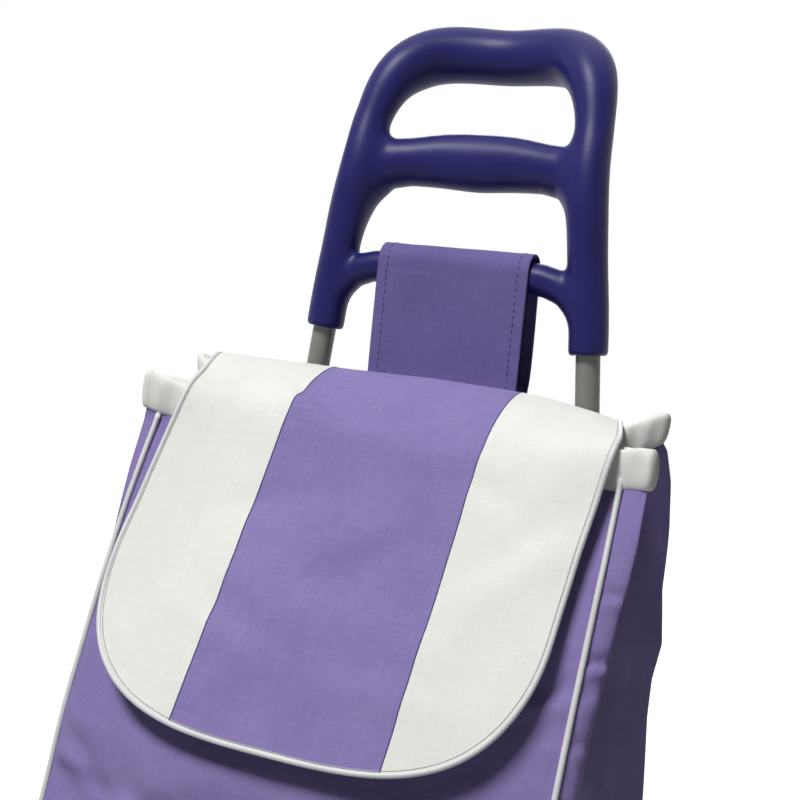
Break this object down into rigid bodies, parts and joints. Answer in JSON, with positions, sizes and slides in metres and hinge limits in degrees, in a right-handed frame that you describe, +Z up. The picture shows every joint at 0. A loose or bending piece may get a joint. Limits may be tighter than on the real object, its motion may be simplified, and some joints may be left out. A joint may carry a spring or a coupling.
{
  "type": "shopping trolley on wheels",
  "caption": "Upright wheeled shopping trolley: tapered tube frame, moulded loop grip, fabric bag hung by a wide strap and closed by a striped lift-up flap.",
  "frame": {"origin": "on the floor, under the middle of the object's box", "axes": "+Z up; -Y is the front that the bag faces; the axle lies along X"},
  "size_m": [0.451, 0.337, 0.934],
  "materials": {
    "grip_plastic": "satin moulded",
    "frame_paint": "grey enamel",
    "steel": "zinc plated",
    "black_plastic": "moulded",
    "tyre_rubber": "matte",
    "pad_rubber": "matte",
    "rim_plastic": "moulded",
    "purple_fabric": "woven polyester",
    "strap_fabric": "woven polyester",
    "white_fabric": "woven polyester",
    "piping_cord": "vinyl covered cord",
    "board": "stiff sheet"
  },
  "bodies": {
    "frame": {"handle": "grip_plastic", "handle_screws": "steel", "left_upright": "frame_paint", "right_upright": "frame_paint", "lower_brace": "frame_paint", "upper_brace": "frame_paint", "brace_rivets": "steel", "left_axle_bracket": "black_plastic", "right_axle_bracket": "black_plastic", "axle": "steel", "axle_washers": "steel", "axle_push_nuts": "steel", "base_loop": "frame_paint", "base_plate": "black_plastic", "base_saddles": "black_plastic", "saddle_screws": "steel", "left_front_leg": "black_plastic", "right_front_leg": "black_plastic", "left_foot_pad": "pad_rubber", "right_foot_pad": "pad_rubber", "bag_front_panel": "purple_fabric", "bag_rear_panel": "purple_fabric", "left_bag_gusset": "purple_fabric", "right_bag_gusset": "purple_fabric", "bag_bottom_panel": "purple_fabric", "bag_floor_board": "board", "front_hem": "white_fabric", "rear_hem": "white_fabric", "left_side_hem": "white_fabric", "right_side_hem": "white_fabric", "left_front_piping": "piping_cord", "right_front_piping": "piping_cord", "strap": "strap_fabric"},
    "left_wheel": {"left_wheel_rim": "rim_plastic", "left_tyre": "tyre_rubber", "left_wheel_bush": "black_plastic", "left_hub_cap": "black_plastic"},
    "right_wheel": {"right_wheel_rim": "rim_plastic", "right_tyre": "tyre_rubber", "right_wheel_bush": "black_plastic", "right_hub_cap": "black_plastic"},
    "flap_top": {"flap_top_left": "white_fabric", "flap_top_centre": "purple_fabric", "flap_top_right": "white_fabric"},
    "flap_front": {"flap_front_left": "white_fabric", "flap_front_centre": "purple_fabric", "flap_front_right": "white_fabric", "flap_piping": "piping_cord"}
  },
  "joints": [
    {"name": "left_wheel_spin", "type": "hinge", "parent": "frame", "child": "left_wheel", "pos_m": [-0.19402, 0.08828, 0.08], "axis": [1, 0, 0], "continuous": true},
    {"name": "right_wheel_spin", "type": "hinge", "parent": "frame", "child": "right_wheel", "pos_m": [0.19402, 0.08828, 0.08], "axis": [1, 0, 0], "continuous": true},
    {"name": "flap_lift", "type": "hinge", "parent": "frame", "child": "flap_top", "pos_m": [0, 0.04927, 0.6904], "axis": [-1, 0, 0], "range_deg": [0, 100]},
    {"name": "flap_unfold", "type": "hinge", "parent": "flap_top", "child": "flap_front", "pos_m": [0, -0.03222, 0.65678], "axis": [-1, 0, 0], "range_deg": [0, 30]}
  ]
}
